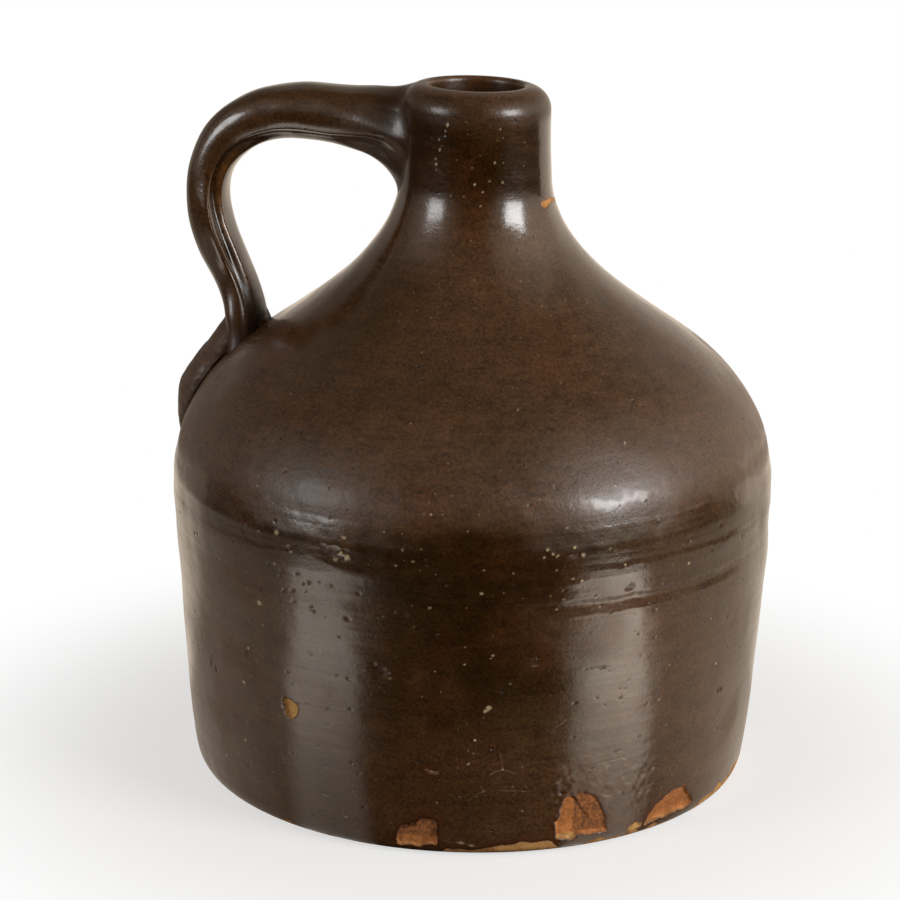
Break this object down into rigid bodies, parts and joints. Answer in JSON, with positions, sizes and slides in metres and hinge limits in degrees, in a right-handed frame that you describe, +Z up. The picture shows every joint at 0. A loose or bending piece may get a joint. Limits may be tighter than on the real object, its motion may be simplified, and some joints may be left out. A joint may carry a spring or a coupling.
{
  "type": "beehive stoneware jug",
  "caption": "Squat beehive jug of brown glazed stoneware with a straight lower wall, raised belt, domed shoulder, narrow open neck and a loop handle from neck to shoulder.",
  "frame": {"origin": "middle of the flat foot, on the surface that the jug stands on", "axes": "+Z up along the pot's axis; the handle lies in the XZ plane on the -X side"},
  "size_m": [0.1729, 0.1706, 0.1974],
  "materials": {
    "glaze": "glossy brown salt or slip glaze, worn and pitted, with bare tan clay at the foot"
  },
  "bodies": {
    "root": {"jug": "glaze"}
  },
  "joints": []
}
